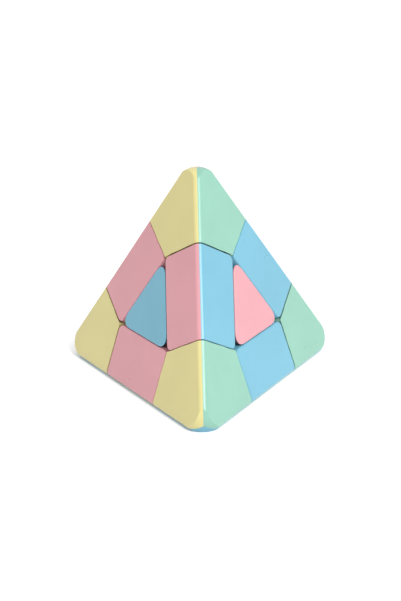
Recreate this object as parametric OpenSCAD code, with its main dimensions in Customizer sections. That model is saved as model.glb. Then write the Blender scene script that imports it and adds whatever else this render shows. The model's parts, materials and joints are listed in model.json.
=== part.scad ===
// Tetrahedral twisty puzzle with fourteen movable blocks: four corners, six edges, four face centres.
// Frame: millimetres, +Z up through the top vertex, origin at the centre of the base face.
// The front vertex points to -Y, the left vertex to -X and the right vertex to +X.

/* [Overall] */
// Length of an edge of the sharp tetrahedron, before its rounding
edge_length = 98; // [70:1:130]
// Side of each face-centre triangle, as a share of the edge
centre_share = 0.323; // [0.31:0.001:0.345]
// Rounding radius along the six outer edges
edge_rounding = 2; // [1.5:0.1:3]
// Radius of the dome on each of the four tips
tip_radius = 7.8; // [5:0.1:9]
// Rounding radius of the face-centre triangle's corners
centre_corner_radius = 2.75; // [1.5:0.05:3.5]

/* [Clearances] */
// Gap between neighbouring blocks
block_gap = 0.26; // [0.16:0.02:0.4]
// Gap between the core ball and the feet that glide on it
ball_gap = 0.1; // [0.06:0.01:0.2]
// Radial clearance of a corner's bore around its axis screw
bore_clearance = 0.06; // [0.03:0.01:0.1]
// How far a corner block lifts against its spring
corner_lift = 0.8; // [0.4:0.1:1]

/* [Shells] */
// Wall thickness of the coloured shells and of the centre caps
wall = 1.6; // [1.2:0.1:2]
// How far the edge blocks' corners are trimmed back beside the centres
edge_corner_trim = 0.6; // [0.3:0.1:0.9]

/* [Mechanism] */
// How far below the middle of a face the skirts end
skirt_cover = 1; // [0.8:0.1:1.2]
// Thickness of the skirts that hold the feet down
skirt_thickness = 1.5; // [1.2:0.1:2]
// Thickness of the feet, between the ball and the skirts
foot_thickness = 3.5; // [3:0.1:4]
// How far the feet reach under their neighbours' skirts
foot_overlap = 2; // [1.6:0.1:2.4]
// How far a corner's hub stands up from its skirt
hub_rise = 5; // [4:0.1:6]
// Wall thickness of the core ball
ball_wall = 2.4; // [1.8:0.1:3]
// Radius of the core's screw posts
post_radius = 3; // [2.4:0.1:3.5]
// Radius of the windows in the core ball
window_radius = 3.6; // [2.5:0.1:4]

/* [Axis hardware] */
// Length of the screw inside the core
screw_grip = 9; // [7:0.1:9.5]
// Length of the spring between the hub and the washer
spring_length = 5.8; // [5:0.1:7]
// Radius of the screw's shank
screw_radius = 1.1; // [0.9:0.05:1.3]
// Radius of the screw's head
head_radius = 2.6; // [2.2:0.1:3]
// Height of the screw's head
head_height = 1.9; // [1.5:0.1:2.4]
// Width of the cross slot in the head
slot_width = 0.7; // [0.5:0.05:0.9]
// Length of the cross slot
slot_length = 3.6; // [2.6:0.1:4]
// Depth of the cross slot
slot_depth = 0.9; // [0.6:0.05:1.1]
// Radius of the washer under the head
washer_radius = 3; // [2.6:0.1:3.2]
// Thickness of the washer
washer_thickness = 0.5; // [0.4:0.1:0.8]
// Radius of the spring's wire
wire_radius = 0.3; // [0.2:0.05:0.4]
// Number of turns of each spring
spring_turns = 5; // [4:1:7]

/* [Hidden] */
$fn = 64;

// Angles of the regular tetrahedron
vertex_tilt = acos(-1 / 3);
edge_tilt = vertex_tilt / 2;
half_dihedral = asin(1 / sqrt(3));

// A corner's axis: its name, azimuth, tilt and spin, then the faces of its three shells
CORNERS = [
    ["top", 0, 0, 0, ["left", "right", "back"]],
    ["front", -90, vertex_tilt, 30, ["left", "base", "right"]],
    ["left", 150, vertex_tilt, 30, ["back", "base", "left"]],
    ["right", 30, vertex_tilt, 30, ["right", "base", "back"]]
];
// An edge block: its name, the corner it is carried by, its step round that corner, and its two faces
EDGES = [
    ["front", 0, 0, ["left", "right"]],
    ["right", 0, 1, ["right", "back"]],
    ["left", 0, 2, ["back", "left"]],
    ["base_left", 1, 0, ["left", "base"]],
    ["base_right", 1, 1, ["base", "right"]],
    ["base_back", 2, 0, ["back", "base"]]
];
// The face centre opposite each corner of CORNERS
CENTRES = ["base", "back", "right", "left"];

// Distances from the puzzle's centre to a face, an edge and a vertex
face_distance = edge_length * sqrt(6) / 12;
mid_edge_distance = face_distance * sqrt(3);
vertex_distance = 3 * face_distance;
reach = 4 * face_distance;

// The seam surface that a layer turns on, by radius and height about that layer's axis:
// level out to the centre triangle's corner, then rising so that the corner block's seam is straight
half_gap = block_gap / 2;
seam_level = face_distance * (1 - 4 * centre_share) / 3;
corner_reach = face_distance * sqrt(1 + 8 * centre_share ^ 2);
level_radius = sqrt(corner_reach ^ 2 - seam_level ^ 2);
crest_height = face_distance * (1 - 2 * centre_share);
crest_radius = sqrt(2) * face_distance * (1 + centre_share);
crest_reach = norm([crest_radius, crest_height]);
seam_length = sqrt(2) * face_distance * (1 - centre_share);
bend = 0.4;
middle_height = seam_level + bend * (crest_height - seam_level);
sag = bend * (1 - bend) * seam_length ^ 2;
middle_reach = sqrt((1 - bend) * corner_reach ^ 2 + bend * crest_reach ^ 2 - sag);
middle_radius = sqrt(middle_reach ^ 2 - middle_height ^ 2);
rim_slope = (crest_height - middle_height) / (crest_radius - middle_radius);
rim_height = crest_height + rim_slope * (reach - crest_radius);

// The inner parts lie in spherical layers: ball, feet, skirts, bodies
skirt_radius = face_distance - skirt_cover;
foot_radius = skirt_radius - skirt_thickness;
ball_radius = foot_radius - foot_thickness;
body_radius = skirt_radius + corner_lift + block_gap;
hub_radius = skirt_radius + hub_rise;
neck_gap = 0.25;
neck_radius = (ball_radius - 3 * foot_overlap) / sqrt(8) - neck_gap;

// The screw, the washer and the spring on each corner's axis
pocket_floor = skirt_radius;
pocket_gap = 0.3;
pocket_radius = washer_radius + pocket_gap;
washer_bottom = pocket_floor + spring_length;
head_bottom = washer_bottom + washer_thickness;
screw_tip = ball_radius - screw_grip;
bore_radius = screw_radius + bore_clearance;
coil_radius = washer_radius - wire_radius;
wire_sides = 8;
coil_steps = 16;

// The roundings, with the circle crossing each face at a slight angle
blend = 0.99;
round_depth = blend * edge_rounding / sin(half_dihedral);
ridge_inset = (round_depth - edge_rounding) / sin(half_dihedral);
dome_blend = 0.985;
dome_depth = dome_blend * tip_radius / sin(half_dihedral);
dome_centre = vertex_distance - ridge_inset - dome_depth;
dome_base = dome_centre + dome_blend * tip_radius * sin(half_dihedral);

function shell_colour(block, face) =
    let (order = ["left", "right", "base", "back"])
    let (palette = ["khaki", "aquamarine", "skyblue", "lightpink"])
    let (spots = block == "corner" ? [0, 1, 2, 3] : block == "edge" ? [3, 2, 1, 0] : [2, 3, 0, 1])
    palette[spots[search([face], order)[0]]];

// ---- placing ----

// Moves the top corner's frame, centred on the puzzle's centre, onto corner c
module at_corner(c) {
    rotate([0, 0, CORNERS[c][1]]) rotate([0, CORNERS[c][2], 0]) rotate([0, 0, CORNERS[c][3]]) children();
}

module in_puzzle() {
    translate([0, 0, face_distance]) children();
}

// ---- cutting bodies, all centred on the puzzle's centre ----

// All that lies above corner c's seam surface, raised by lift
module above_seam(c, lift) {
    at_corner(c) rotate_extrude() polygon([
        [0, seam_level + lift],
        [level_radius, seam_level + lift],
        [middle_radius, middle_height + lift],
        [reach, rim_height + lift],
        [0, rim_height + lift]
    ]);
}

// All that lies above height h along corner c's axis
module above_level(c, h) {
    at_corner(c) translate([-reach, -reach, h]) cube([2 * reach, 2 * reach, 2 * reach]);
}

// All that lies below height h along corner c's axis
module below_level(c, h) {
    at_corner(c) translate([-reach, -reach, h - 2 * reach]) cube([2 * reach, 2 * reach, 2 * reach]);
}

// The inside of the face opposite corner c, moved inwards by inset
module inside_face(c, inset) {
    above_level(c, inset - face_distance);
}

// What the rounding takes off the front edge
module front_edge_rounding() {
    angle = 90 - half_dihedral;
    spread = 3 * edge_rounding;
    rotate([90 + edge_tilt, 0, 0]) linear_extrude(2 * reach, center = true)
        translate([0, mid_edge_distance - round_depth]) difference() {
            polygon([
                [0, 0],
                [spread * sin(angle), spread * cos(angle)],
                [0, 2 * spread],
                [-spread * sin(angle), spread * cos(angle)]
            ]);
            circle(edge_rounding);
        }
}

// What the dome takes off the top tip
module tip_rounding() {
    difference() {
        translate([0, 0, dome_base]) cylinder(r = 3 * tip_radius, h = 4 * tip_radius);
        translate([0, 0, dome_centre]) sphere(tip_radius);
    }
}

// The third of space round the vertical axis that holds the left face
module left_sector() {
    linear_extrude(3 * reach, center = true) polygon([
        [0, 0],
        [-reach * sqrt(3), reach],
        [-2 * reach, 0],
        [-2 * reach, -2 * reach],
        [0, -2 * reach]
    ]);
}

module left_side() {
    translate([-2 * reach, -reach, -2 * reach]) cube([2 * reach, 3 * reach, 4 * reach]);
}

// ---- corner blocks, drawn at the top corner ----

// Where the top corner block is, above the middle and below height h on the other three axes
module corner_wedge(h) {
    intersection() {
        above_level(0, 0);
        below_level(1, h);
        below_level(2, h);
        below_level(3, h);
        children();
    }
}

// One coloured shell of the top corner block, on the left face
module corner_shell() {
    difference() {
        intersection() {
            left_sector();
            inside_face(3, 0);
            above_level(0, 0);
        }
        for (c = [1, 2, 3]) above_seam(c, -half_gap);
        sphere(hub_radius);
        front_edge_rounding();
        rotate([0, 0, -120]) front_edge_rounding();
        tip_rounding();
        corner_hollow();
    }
}

// The hollow inside the corner block's three shells, which the screw's head stands in
module corner_hollow() {
    low = (hub_radius / 3 + seam_level) / cos(vertex_tilt - 90) - wall - half_gap;
    tall = vertex_distance - hub_radius;
    sink = 2;
    intersection() {
        inside_face(1, wall);
        inside_face(2, wall);
        inside_face(3, wall);
        below_level(0, dome_centre + tip_radius - 2 * wall);
        translate([0, 0, hub_radius - sink])
            cylinder(r1 = low - sink / 3, r2 = low + tall / 3, h = tall + sink);
    }
}

// The top corner block's inner hub: a stem on the ball, a skirt over the edge blocks, a spring pocket
module corner_hub() {
    difference() {
        union() {
            difference() {
                union() {
                    corner_wedge(-half_gap) sphere(skirt_radius);
                    corner_wedge(seam_level - half_gap) sphere(hub_radius);
                }
                sphere(foot_radius + half_gap);
            }
            cylinder(r = neck_radius, h = pocket_floor);
        }
        sphere(ball_radius);
        cylinder(r = bore_radius, h = reach);
        translate([0, 0, pocket_floor]) cylinder(r = pocket_radius, h = reach);
    }
}

// ---- edge blocks, drawn at the front edge ----

// Where the front edge block is: above height h on its own two axes, below height side on the others
module edge_wedge(h, side) {
    intersection() {
        above_level(0, h);
        above_level(1, h);
        below_level(2, side);
        below_level(3, side);
        children();
    }
}

// The front edge block's length between its two corner blocks, less trim at each end
module between_corners(trim) {
    length = edge_length * centre_share - 2 * trim;
    rotate([edge_tilt, 0, 0]) translate([-reach, -length / 2, 0]) cube([2 * reach, length, reach]);
}

// One coloured shell of the front edge block, on the left face
module edge_shell() {
    trim_radius = norm([edge_length * centre_share / 2, face_distance * (1 - centre_share) * sqrt(2 / 3)]);
    difference() {
        intersection() {
            left_side();
            inside_face(3, 0);
            above_level(0, seam_level + half_gap);
            above_level(1, seam_level + half_gap);
            below_level(2, seam_level - half_gap);
            between_corners(half_gap);
            rotate([edge_tilt, 0, 0]) cylinder(r = trim_radius - edge_corner_trim, h = reach);
        }
        sphere(body_radius);
        front_edge_rounding();
        edge_hollow();
    }
}

// The hollow inside the edge block's two shells
module edge_hollow() {
    edge_wedge(seam_level + half_gap + wall, seam_level - half_gap - wall) intersection() {
        inside_face(2, wall);
        inside_face(3, wall);
        between_corners(half_gap + wall);
    }
}

// The front edge block's foot: it glides on the ball, reaches under the corners and holds the centres' feet
module edge_foot() {
    difference() {
        union() {
            edge_wedge(half_gap - foot_overlap, -foot_overlap - half_gap) sphere(foot_radius - half_gap);
            edge_wedge(half_gap, min(seam_level, -foot_overlap) - half_gap) sphere(body_radius);
            difference() {
                edge_wedge(half_gap, -half_gap) sphere(skirt_radius);
                sphere(foot_radius + half_gap);
            }
        }
        sphere(ball_radius);
    }
}

// ---- face centres, drawn at the base face ----

// Where the base centre is: below the middle, above its cap's outer face and above height h on three axes
module centre_wedge(h, top) {
    intersection() {
        inside_face(0, top);
        above_level(1, h);
        above_level(2, h);
        above_level(3, h);
        below_level(0, 0);
    }
}

// What the rounding takes off one corner of the base centre, towards the front
module centre_corner_rounding() {
    corner = 2 * sqrt(2) * face_distance * centre_share;
    spread = 3 * centre_corner_radius;
    linear_extrude(2 * reach, center = true) translate([0, 2 * blend * centre_corner_radius - corner])
        difference() {
            polygon([
                [0, 0],
                [-spread * sin(60), -spread * cos(60)],
                [0, -2 * spread],
                [spread * sin(60), -spread * cos(60)]
            ]);
            circle(centre_corner_radius);
        }
}

// The base centre's coloured cap: a plate over its foot, thicker towards its corners
module centre_cap() {
    difference() {
        union() {
            difference() {
                centre_wedge(seam_level + half_gap, 0);
                sphere(body_radius);
            }
            difference() {
                centre_wedge(half_gap, 0);
                inside_face(0, wall);
            }
        }
        for (k = [0, 1, 2]) rotate([0, 0, 120 * k]) centre_corner_rounding();
    }
}

// The base centre's foot: a neck between the edge blocks and a spherical triangle on the ball
module centre_foot() {
    difference() {
        union() {
            intersection() {
                centre_wedge(half_gap - foot_overlap, 0);
                sphere(foot_radius - half_gap);
            }
            intersection() {
                centre_wedge(half_gap, wall);
                sphere(body_radius);
            }
        }
        sphere(ball_radius);
    }
}

// ---- the core and the axis hardware ----

// The ball that everything turns on, with a post for each screw and a window under each face centre
module core() {
    color("gainsboro") in_puzzle() difference() {
        union() {
            difference() {
                sphere(ball_radius - ball_gap);
                sphere(ball_radius - ball_gap - ball_wall);
                for (c = [0:3]) at_corner(c) translate([0, 0, -reach]) cylinder(r = window_radius, h = reach);
            }
            intersection() {
                sphere(ball_radius - ball_gap - ball_wall / 2);
                for_posts();
            }
        }
        for (c = [0:3]) at_corner(c) translate([0, 0, screw_tip]) cylinder(r = screw_radius, h = reach);
    }
}

module for_posts() {
    union() {
        for (c = [0:3]) at_corner(c) cylinder(r = post_radius, h = ball_radius);
        sphere(1.3 * post_radius);
    }
}

module axis_screw() {
    difference() {
        union() {
            translate([0, 0, screw_tip])
                cylinder(r = screw_radius, h = head_bottom + head_height / 2 - screw_tip);
            translate([0, 0, head_bottom]) cylinder(r = head_radius, h = head_height);
        }
        for (turn = [0, 90]) rotate([0, 0, turn])
            translate([-slot_length / 2, -slot_width / 2, head_bottom + head_height - slot_depth])
                cube([slot_length, slot_width, 2 * slot_depth]);
    }
}

module axis_screws() {
    color("silver") in_puzzle() for (c = [0:3]) at_corner(c) axis_screw();
}

module screw_washers() {
    color("darkgray") in_puzzle() for (c = [0:3]) at_corner(c) translate([0, 0, washer_bottom]) difference() {
        cylinder(r = washer_radius, h = washer_thickness);
        translate([0, 0, -1]) cylinder(r = screw_radius, h = washer_thickness + 2);
    }
}

// A coil spring that stands between the pocket's floor and the washer
module spring(c) {
    low = pocket_floor + wire_radius;
    high = washer_bottom - wire_radius;
    rings = spring_turns * coil_steps;
    points = [
        for (i = [0:rings]) let (turn = 360 * i / coil_steps)
        for (k = [0:wire_sides - 1]) let (around = 360 * k / wire_sides)
        let (out = coil_radius + wire_radius * cos(around))
        [out * cos(turn), out * sin(turn), low + (high - low) * i / rings + wire_radius * sin(around)]
    ];
    sides = [
        for (i = [0:rings - 1])
        for (k = [0:wire_sides - 1]) let (next = (k + 1) % wire_sides)
        [i * wire_sides + k, i * wire_sides + next, (i + 1) * wire_sides + next, (i + 1) * wire_sides + k]
    ];
    start = [for (k = [wire_sides - 1:-1:0]) k];
    end = [for (k = [0:wire_sides - 1]) rings * wire_sides + k];
    color("lightsteelblue") in_puzzle() at_corner(c) polyhedron(points, concat([start], sides, [end]));
}

// ---- the nodes ----

core();
axis_screws();
screw_washers();
for (c = [0:3]) {
    spring(c);
    color("whitesmoke") in_puzzle() at_corner(c) corner_hub();
    for (k = [0:2]) {
        face = CORNERS[c][4][k];
        color(shell_colour("corner", face)) in_puzzle() at_corner(c) rotate([0, 0, 120 * k])
                corner_shell();
    }
    color("whitesmoke") in_puzzle() at_corner(c) centre_foot();
    color(shell_colour("centre", CENTRES[c])) in_puzzle() at_corner(c) centre_cap();
}
for (e = EDGES) {
    color("whitesmoke") in_puzzle() at_corner(e[1]) rotate([0, 0, 120 * e[2]]) edge_foot();
    color(shell_colour("edge", e[3][0])) in_puzzle() at_corner(e[1]) rotate([0, 0, 120 * e[2]])
            edge_shell();
    color(shell_colour("edge", e[3][1])) in_puzzle() at_corner(e[1]) rotate([0, 0, 120 * e[2]])
            mirror([1, 0, 0]) edge_shell();
}
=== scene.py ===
import json
import math

import bmesh
import bpy
from mathutils import Matrix, Vector

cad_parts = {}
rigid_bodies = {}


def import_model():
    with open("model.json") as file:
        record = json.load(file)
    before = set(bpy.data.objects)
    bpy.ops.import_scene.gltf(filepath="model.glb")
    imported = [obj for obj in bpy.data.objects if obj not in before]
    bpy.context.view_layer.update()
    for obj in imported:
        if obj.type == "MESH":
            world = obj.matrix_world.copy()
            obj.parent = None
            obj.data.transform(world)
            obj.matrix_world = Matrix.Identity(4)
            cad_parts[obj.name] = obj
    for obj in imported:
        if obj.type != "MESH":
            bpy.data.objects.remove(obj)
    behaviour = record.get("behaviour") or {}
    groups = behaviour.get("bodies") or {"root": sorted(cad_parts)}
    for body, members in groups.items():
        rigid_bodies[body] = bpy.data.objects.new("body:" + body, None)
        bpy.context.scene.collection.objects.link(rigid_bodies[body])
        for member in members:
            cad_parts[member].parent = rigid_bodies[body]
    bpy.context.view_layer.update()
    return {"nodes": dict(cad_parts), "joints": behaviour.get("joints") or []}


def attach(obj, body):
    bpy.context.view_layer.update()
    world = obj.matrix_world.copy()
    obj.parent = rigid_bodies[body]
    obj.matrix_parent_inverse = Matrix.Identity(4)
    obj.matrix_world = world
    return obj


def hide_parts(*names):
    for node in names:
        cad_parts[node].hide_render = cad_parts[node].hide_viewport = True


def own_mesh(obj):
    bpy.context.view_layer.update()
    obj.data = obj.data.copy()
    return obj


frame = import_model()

# The puzzle's own directions: each corner block lifts along its axis, and each face looks away
# from the corner opposite to it.
jointsByName = {joint["name"]: joint for joint in frame["joints"]}
puzzleMiddle = Vector(jointsByName["top_layer_turn"]["pos_m"])
cornerAxis = {name: Vector(jointsByName[name + "_corner_lift"]["axis"]).normalized()
              for name in ("top", "front", "left", "right")}
faceNormal = {"base": -cornerAxis["top"], "back": -cornerAxis["front"],
              "right": -cornerAxis["left"], "left": -cornerAxis["right"]}

cornerFaces = {"top": ("left", "right", "back"), "front": ("left", "base", "right"),
               "left": ("back", "base", "left"), "right": ("right", "base", "back")}
edgeFaces = {"front": ("left", "right"), "right": ("right", "back"), "left": ("back", "left"),
             "base_left": ("left", "base"), "base_right": ("base", "right"), "base_back": ("back", "base")}
upperEdges = ("front", "right", "left")
cornerColour = {"left": "yellow", "right": "mint", "base": "blue", "back": "pink"}
edgeColour = {"left": "pink", "right": "blue", "base": "mint", "back": "yellow"}
centreColour = {"left": "blue", "right": "pink", "base": "yellow", "back": "mint"}


# Materials

def newMaterial(name):
    material = bpy.data.materials.new(name)
    material.use_nodes = True
    nodes = material.node_tree.nodes
    return material, nodes, material.node_tree.links, nodes["Principled BSDF"]


def noiseOnObject(nodes, links, scale, detail, roughness=0.5, stretch=(1, 1, 1)):
    coordinates = nodes.new("ShaderNodeTexCoord")
    mapping = nodes.new("ShaderNodeMapping")
    mapping.inputs["Scale"].default_value = stretch
    noise = nodes.new("ShaderNodeTexNoise")
    noise.inputs["Scale"].default_value = scale
    noise.inputs["Detail"].default_value = detail
    noise.inputs["Roughness"].default_value = roughness
    links.new(coordinates.outputs["Object"], mapping.inputs["Vector"])
    links.new(mapping.outputs["Vector"], noise.inputs["Vector"])
    return noise.outputs["Fac"]


def rampBetween(nodes, links, factor, low, high, start=0.3, end=0.7):
    ramp = nodes.new("ShaderNodeValToRGB")
    ramp.color_ramp.elements[0].position = start
    ramp.color_ramp.elements[1].position = end
    ramp.color_ramp.elements[0].color = (*low, 1)
    ramp.color_ramp.elements[1].color = (*high, 1)
    links.new(factor, ramp.inputs["Fac"])
    return ramp.outputs["Color"]


def rangeOf(nodes, links, factor, low, high):
    spread = nodes.new("ShaderNodeMapRange")
    spread.inputs["To Min"].default_value = low
    spread.inputs["To Max"].default_value = high
    links.new(factor, spread.inputs["Value"])
    return spread.outputs["Result"]


def bumpFrom(nodes, links, height, strength, distance, under=None):
    bump = nodes.new("ShaderNodeBump")
    bump.inputs["Strength"].default_value = strength
    bump.inputs["Distance"].default_value = distance
    links.new(height, bump.inputs["Height"])
    if under is not None:
        links.new(under, bump.inputs["Normal"])
    return bump.outputs["Normal"]


tinted = {
    "yellow": (0.491, 0.438, 0.185),
    "mint": (0.174, 0.356, 0.28),
    "blue": (0.11, 0.301, 0.396),
    "pink": (0.488, 0.225, 0.25),
    "cloud": 0.035,        # how far the pigment drifts lighter and darker
    "cloudScale": 55,
    "gloss": (0.24, 0.36),  # roughness, from the polished patches to the handled ones
    "smudgeScale": 120,
    "grainScale": 2600,    # the mould's fine sparkle
    "grainDepth": 0.00001,
    "grainStrength": 0.5,
    "rippleScale": 90,     # the slow sink of moulded plastic
    "rippleDepth": 0.00003,
    "rippleStrength": 0.6,
    "glow": 0.12,          # share of light that travels under the skin
    "glowReach": 0.0012,
    "glowTint": (1, 0.8, 0.7),
    "ior": 1.5,
}


def tintedPlastic(name):
    base = tinted[name]
    material, nodes, links, shader = newMaterial(name + "MouldedPlastic")
    cloud = noiseOnObject(nodes, links, tinted["cloudScale"], 4)
    paler = [channel * (1 + tinted["cloud"]) for channel in base]
    deeper = [channel * (1 - tinted["cloud"]) for channel in base]
    links.new(rampBetween(nodes, links, cloud, deeper, paler), shader.inputs["Base Color"])
    smudge = noiseOnObject(nodes, links, tinted["smudgeScale"], 6, 0.6)
    links.new(rangeOf(nodes, links, smudge, *tinted["gloss"]), shader.inputs["Roughness"])
    ripple = noiseOnObject(nodes, links, tinted["rippleScale"], 2)
    grain = noiseOnObject(nodes, links, tinted["grainScale"], 3, 0.7)
    slow = bumpFrom(nodes, links, ripple, tinted["rippleStrength"], tinted["rippleDepth"])
    fine = bumpFrom(nodes, links, grain, tinted["grainStrength"], tinted["grainDepth"], slow)
    links.new(fine, shader.inputs["Normal"])
    shader.inputs["Subsurface Weight"].default_value = tinted["glow"]
    shader.inputs["Subsurface Radius"].default_value = tinted["glowTint"]
    shader.inputs["Subsurface Scale"].default_value = tinted["glowReach"]
    shader.inputs["IOR"].default_value = tinted["ior"]
    return material


plain = {
    # The inner parts are off-white; this dark colour is painted shade, standing for the deep shade inside
    # the holes and seams
    "inner": (0.12, 0.115, 0.11),
    "core": (0.5, 0.5, 0.49),
    "gloss": (0.4, 0.55),
    "speckScale": 900,
    "speckShade": 0.9,     # how much darker the deepest specks are
    "scuffScale": 260,
    "scuffStretch": (1, 1, 4),
    "scuffDepth": 0.00004,
    "scuffStrength": 0.4,
}


# Uncoloured plastic with a rubbed, slightly scuffed surface where the parts glide; the inner hubs and feet
# use it with a dark colour that is painted shade
def glidingPlastic(name):
    base = plain[name]
    material, nodes, links, shader = newMaterial(name + "GlidingPlastic")
    speck = noiseOnObject(nodes, links, plain["speckScale"], 5, 0.6)
    deeper = [channel * plain["speckShade"] for channel in base]
    links.new(rampBetween(nodes, links, speck, deeper, base), shader.inputs["Base Color"])
    scuff = noiseOnObject(nodes, links, plain["scuffScale"], 6, 0.7, plain["scuffStretch"])
    links.new(rangeOf(nodes, links, scuff, *plain["gloss"]), shader.inputs["Roughness"])
    rubbed = bumpFrom(nodes, links, scuff, plain["scuffStrength"], plain["scuffDepth"])
    links.new(rubbed, shader.inputs["Normal"])
    return material


steel = {
    "screw": {"colour": (0.56, 0.56, 0.58), "streak": (1, 1, 30), "scale": 320, "gloss": (0.25, 0.45)},
    "washer": {"colour": (0.62, 0.62, 0.64), "streak": (1, 1, 1), "scale": 900, "gloss": (0.3, 0.42)},
    "spring": {"colour": (0.48, 0.49, 0.52), "streak": (1, 1, 8), "scale": 500, "gloss": (0.2, 0.35)},
    "dullShade": 0.8,
    "streakDepth": 0.00001,
    "streakStrength": 0.3,
}


def workedSteel(name):
    look = steel[name]
    material, nodes, links, shader = newMaterial(name + "Steel")
    streak = noiseOnObject(nodes, links, look["scale"], 5, 0.6, look["streak"])
    dull = [channel * steel["dullShade"] for channel in look["colour"]]
    links.new(rampBetween(nodes, links, streak, dull, look["colour"]), shader.inputs["Base Color"])
    links.new(rangeOf(nodes, links, streak, *look["gloss"]), shader.inputs["Roughness"])
    brushed = bumpFrom(nodes, links, streak, steel["streakStrength"], steel["streakDepth"])
    links.new(brushed, shader.inputs["Normal"])
    shader.inputs["Metallic"].default_value = 1
    return material


plastics = {name: tintedPlastic(name) for name in ("yellow", "mint", "blue", "pink")}
# The inner plastic's dark colour is painted shade, not the parts' own off-white
innerPaintedShadePlastic = glidingPlastic("inner")
corePlastic = glidingPlastic("core")
print("materials mixed")


# The coloured covers: each is what its CAD node and a smooth envelope with rounded rims share

cover = {
    "blank": 0.4,           # the cube that an envelope is cut from
    "weld": 0.000002,       # corners closer than this become one
    "skim": 0.00001,        # how far the envelope's face lies under the CAD face
    "slack": 0.000008,      # how far its sides stand off the CAD sides
    "rimRound": 0.00042,    # round-over along every rim
    "rimSteps": 4,
    "ridgeRound": 0.0020,   # radius along the six long edges
    "ridgeSteps": 12,
    "kiteCorner": 0.0010,   # radius of the kite's inner corner
    "blockCorner": 0.0020,  # radius of an edge cover's corners beside the centre tile
    "tileCorner": 0.0034,   # radius of the centre tile's corners
    "cornerSteps": 6,
    "outward": 0.45,        # a facet that keeps this much of the face's direction is on the outside
    "smoothAngle": 35,      # degrees; a sharper edge stays hard
    "flatWeight": 90,       # how strongly the big facets set the shading
    "aligned": 0.9999,      # two directions this close count as one
    "alongBorder": 0.999,   # the same, for a side on the border of two colours
    "square": 0.01,         # two directions whose dot product is under this are square to each other
}


# A corner's axis leans the way of each face that the corner touches
def touches(axis, normal):
    return axis.dot(normal) > 0


def cadCopy(node):
    blank = bmesh.new()
    blank.from_mesh(frame["nodes"][node].data)
    bmesh.ops.remove_doubles(blank, verts=blank.verts, dist=cover["weld"] / 2)
    return blank


# How far a CAD node reaches from the middle of the puzzle in one direction
def reachOf(node, direction):
    return max((vert.co - puzzleMiddle).dot(direction) for vert in frame["nodes"][node].data.vertices)


def trimTo(block, direction, reach):
    bmesh.ops.bisect_plane(block, geom=block.verts[:] + block.edges[:] + block.faces[:], clear_outer=True,
                           plane_co=puzzleMiddle + direction * reach, plane_no=direction)
    rim = [edge for edge in block.edges if edge.is_boundary]
    if rim:
        bmesh.ops.edgeloop_fill(block, edges=rim)
    block.normal_update()


def edgesBetween(block, first, second):
    found = []
    for edge in block.edges:
        normals = [facet.normal for facet in edge.link_faces]
        if any(one.dot(first) > cover["aligned"] and two.dot(second) > cover["aligned"]
               for one, two in (normals, normals[::-1])):
            found.append(edge)
    return found


# Rounds edges whose two sides meet at the given inside angle to a radius
def roundEdges(block, edges, radius, insideAngle, steps):
    bmesh.ops.bevel(block, geom=edges, offset=radius / math.tan(insideAngle / 2), offset_type="OFFSET",
                    segments=steps, profile=0.5, affect="EDGES", clamp_overlap=False, loop_slide=True,
                    material=-1)
    block.normal_update()


# The rim runs between the outside and the block's sides, but not along the border of two colours
def roundRims(block, normal, borders):
    outside = {facet for facet in block.faces if facet.normal.dot(normal) > cover["outward"]}
    rims = []
    for edge in block.edges:
        facets = edge.link_faces
        if (facets[0] in outside) != (facets[1] in outside):
            side = facets[1] if facets[0] in outside else facets[0]
            if not any(side.normal.dot(border) > cover["alongBorder"] for border in borders):
                rims.append(edge)
    roundEdges(block, rims, cover["rimRound"], math.pi / 2, cover["rimSteps"])


# A closed block, bounded by the face, the neighbouring faces that share its long edges, and its sides
def envelopeOf(node, normal, neighbours, sides):
    block = bmesh.new()
    bmesh.ops.create_cube(block, size=cover["blank"])
    bmesh.ops.translate(block, verts=block.verts, vec=puzzleMiddle)
    faceReach = reachOf(node, normal) - cover["skim"]
    for direction in (normal, *neighbours):
        trimTo(block, direction, faceReach)
    for direction in sides:
        trimTo(block, direction, reachOf(node, direction) + cover["slack"])
    return block


ridgeAngle = math.acos(1 / 3)   # the inside angle between two faces


def asObject(block, name):
    mesh = bpy.data.meshes.new(name)
    block.to_mesh(mesh)
    block.free()
    made = bpy.data.objects.new(name, mesh)
    bpy.context.scene.collection.objects.link(made)
    return made


# Keeps what the CAD copy and the envelope share
def commonTo(copy, envelope, name):
    cutter = asObject(envelope, name + "Envelope")
    piece = asObject(copy, name)
    common = piece.modifiers.new("common", "BOOLEAN")
    common.operation = "INTERSECT"
    common.solver = "EXACT"
    common.object = cutter
    shared = bmesh.new()
    shared.from_object(piece, bpy.context.evaluated_depsgraph_get())
    piece.modifiers.clear()
    bpy.data.objects.remove(cutter)
    return piece, shared


def finishCover(node, envelope, name, body, colour):
    piece, shared = commonTo(cadCopy(node), envelope, name)
    bmesh.ops.remove_doubles(shared, verts=shared.verts, dist=cover["weld"])
    bmesh.ops.dissolve_degenerate(shared, edges=shared.edges, dist=cover["weld"])
    limit = math.radians(cover["smoothAngle"])
    shared.normal_update()
    for facet in shared.faces:
        facet.smooth = True
    for edge in shared.edges:
        edge.smooth = len(edge.link_faces) == 2 and edge.calc_face_angle() < limit
    shared.to_mesh(piece.data)
    shared.free()
    piece.data.materials.clear()
    piece.data.materials.append(plastics[colour])
    flatten = piece.modifiers.new("flatFaces", "WEIGHTED_NORMAL")
    flatten.keep_sharp = True
    flatten.weight = cover["flatWeight"]
    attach(piece, body)
    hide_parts(node)
    return piece


# The corner at the far end of each long edge, and the direction along it
def along(start, end):
    return (cornerAxis[end] - cornerAxis[start]).normalized()


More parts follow.
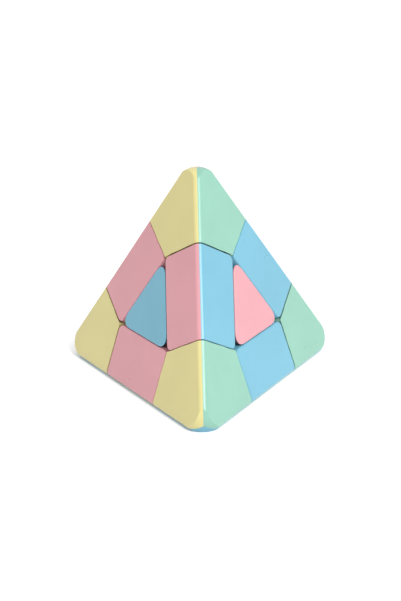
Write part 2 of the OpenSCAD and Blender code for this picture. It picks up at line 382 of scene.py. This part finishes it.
def cornerCover(corner, face):
    node = f"{corner}_corner_{face}_shell"
    normal = faceNormal[face]
    neighbours = [faceNormal[other] for other in cornerFaces[corner] if other != face]
    borders = [(other - normal).normalized() for other in neighbours]
    seams = [along(corner, other) for other in cornerAxis
             if other != corner and touches(cornerAxis[other], normal)]
    block = envelopeOf(node, normal, neighbours, [*seams, -cornerAxis[corner]])
    ridges = edgesBetween(block, normal, neighbours[0]) + edgesBetween(block, normal, neighbours[1])
    roundEdges(block, ridges, cover["ridgeRound"], ridgeAngle, cover["ridgeSteps"])
    for border in borders:
        trimTo(block, border, reachOf(node, border) + cover["slack"])
    innerCorner = edgesBetween(block, *seams)
    roundEdges(block, innerCorner, cover["kiteCorner"], math.radians(120), cover["cornerSteps"])
    roundRims(block, normal, borders)
    finishCover(node, block, f"{corner}Corner_{face}Cover", corner + "_corner", cornerColour[face])


def edgeCover(edge, face):
    node = f"{edge}_edge_{face}_shell"
    normal = faceNormal[face]
    neighbour = faceNormal[next(other for other in edgeFaces[edge] if other != face)]
    border = (neighbour - normal).normalized()
    length = normal.cross(neighbour).normalized()
    across = next(axis for axis in cornerAxis.values()
                  if abs(axis.dot(length)) < cover["square"] and touches(axis, normal))
    block = envelopeOf(node, normal, [neighbour], [length, -length, across])
    roundEdges(block, edgesBetween(block, normal, neighbour), cover["ridgeRound"], ridgeAngle,
               cover["ridgeSteps"])
    trimTo(block, border, reachOf(node, border) + cover["slack"])
    uprights = edgesBetween(block, length, across) + edgesBetween(block, -length, across)
    roundEdges(block, uprights, cover["blockCorner"], math.pi / 2, cover["cornerSteps"])
    roundRims(block, normal, [border])
    body = "top_layer" if edge in upperEdges else "base_half"
    finishCover(node, block, f"{edge}Edge_{face}Cover", body, edgeColour[face])


def centreTile(face):
    node = face + "_centre_cap"
    normal = faceNormal[face]
    sides = [-axis for axis in cornerAxis.values() if touches(axis, normal)]
    block = envelopeOf(node, normal, [], sides)
    uprights = [edge for pair in ((0, 1), (1, 2), (2, 0))
                for edge in edgesBetween(block, sides[pair[0]], sides[pair[1]])]
    roundEdges(block, uprights, cover["tileCorner"], ridgeAngle, cover["cornerSteps"])
    roundRims(block, normal, [])
    body = "base_half" if face == "base" else "top_layer"
    finishCover(node, block, f"{face}Centre_tile", body, centreColour[face])


for corner, faces in cornerFaces.items():
    for face in faces:
        cornerCover(corner, face)
print("corner covers rounded")
for edge, faces in edgeFaces.items():
    for face in faces:
        edgeCover(edge, face)
print("edge covers rounded")
for face in centreColour:
    centreTile(face)
print("centre tiles rounded")


# The mechanism keeps its CAD shapes and gets its own finishes, except that the off-white hubs and feet are
# painted dark as painted shade for the holes between the covers

def dress(node, material):
    for materialSlot in frame["nodes"][node].material_slots:
        materialSlot.material = material


# A spring stands between the washer and its hub; its copy rides rigidly on the lift joint's parent body
def coilSpring(corner, material):
    node = corner + "_spring"
    joint = jointsByName[corner + "_corner_lift"]
    piece = asObject(cadCopy(node), corner + "Axis_spring")
    piece.data.shade_smooth()
    piece.data.materials.append(material)
    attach(piece, joint["parent"])
    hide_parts(node)
    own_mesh(piece)


dress("core", corePlastic)
dress("axis_screws", workedSteel("screw"))
dress("screw_washers", workedSteel("washer"))
springWire = workedSteel("spring")
for corner in cornerFaces:
    coilSpring(corner, springWire)
    dress(corner + "_corner_hub", innerPaintedShadePlastic)
for edge in edgeFaces:
    dress(edge + "_edge_foot", innerPaintedShadePlastic)
for face in centreColour:
    dress(face + "_centre_foot", innerPaintedShadePlastic)
print("mechanism dressed")


# Floor, light and camera

studio = {
    "floorSize": 3.0,
    "floorColour": (0.93, 0.93, 0.93),
    "floorShade": 0.985,
    "floorGloss": 0.85,
    "fibreScale": 400,
    "sky": (1, 1, 1),
    "skyStrength": 1.0,
    "keyPlace": (0.55, -0.75, 0.75),
    "keySize": 0.7,
    "keyPower": 14,
    "fillPlace": (-0.9, -0.5, 0.5),
    "fillSize": 0.9,
    "fillPower": 1,
}


def studioFloor():
    flat = bmesh.new()
    bmesh.ops.create_grid(flat, x_segments=8, y_segments=8, size=studio["floorSize"] / 2)
    mesh = bpy.data.meshes.new("studioFloor")
    flat.to_mesh(mesh)
    flat.free()
    floor = bpy.data.objects.new("studioFloor", mesh)
    bpy.context.scene.collection.objects.link(floor)
    material, nodes, links, shader = newMaterial("palePaper")
    fibre = noiseOnObject(nodes, links, studio["fibreScale"], 4)
    paler = studio["floorColour"]
    deeper = [channel * studio["floorShade"] for channel in paler]
    links.new(rampBetween(nodes, links, fibre, deeper, paler), shader.inputs["Base Color"])
    shader.inputs["Roughness"].default_value = studio["floorGloss"]
    mesh.materials.append(material)


def softLamp(name, place, size, power):
    lamp = bpy.data.lights.new(name, "AREA")
    lamp.shape = "DISK"
    lamp.size = size
    lamp.energy = power
    holder = bpy.data.objects.new(name, lamp)
    holder.location = place
    holder.rotation_euler = (puzzleMiddle - Vector(place)).to_track_quat("-Z", "Y").to_euler()
    bpy.context.scene.collection.objects.link(holder)


def studioSky():
    world = bpy.data.worlds.new("studioSky")
    world.use_nodes = True
    background = world.node_tree.nodes["Background"]
    background.inputs["Color"].default_value = (*studio["sky"], 1)
    background.inputs["Strength"].default_value = studio["skyStrength"]
    bpy.context.scene.world = world


viewpoint = {
    "place": (-0.0037, -0.4949, 0.1996),
    "aim": (0.0003, 0, 0.0265),
    "lens": 94.7,
    "roll": -1.2,    # degrees, clockwise as seen through the camera
}


def studioCamera():
    lens = bpy.data.cameras.new("viewpoint")
    lens.lens = viewpoint["lens"]
    lens.sensor_width = 36
    lens.clip_start = 0.01
    camera = bpy.data.objects.new("viewpoint", lens)
    place = Vector(viewpoint["place"])
    aim = (Vector(viewpoint["aim"]) - place).to_track_quat("-Z", "Y")
    roll = Matrix.Rotation(math.radians(viewpoint["roll"]), 4, "Z")
    camera.matrix_world = Matrix.Translation(place) @ aim.to_matrix().to_4x4() @ roll
    bpy.context.scene.collection.objects.link(camera)
    bpy.context.scene.camera = camera


studioFloor()
studioSky()
softLamp("keyLamp", studio["keyPlace"], studio["keySize"], studio["keyPower"])
softLamp("fillLamp", studio["fillPlace"], studio["fillSize"], studio["fillPower"])
studioCamera()
bpy.context.scene.view_settings.view_transform = "Standard"
print("studio set")
